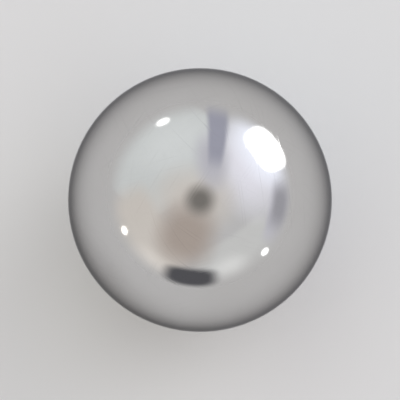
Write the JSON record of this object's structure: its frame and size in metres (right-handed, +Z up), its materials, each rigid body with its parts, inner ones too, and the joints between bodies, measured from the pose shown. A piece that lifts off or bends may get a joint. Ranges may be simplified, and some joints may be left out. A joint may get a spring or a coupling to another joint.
{
  "type": "steel ball",
  "caption": "Solid polished steel ball: a plain true sphere, loose, for a bearing, detent, valve or slide.",
  "frame": {"origin": "centre of the ball", "axes": "+Z up through the ball's top; the ball is the same about every axis, so X and Y are any level pair"},
  "size_m": [0.008, 0.008, 0.008],
  "materials": {
    "polished_steel": "polished"
  },
  "bodies": {
    "root": {"ball": "polished_steel"}
  },
  "joints": []
}
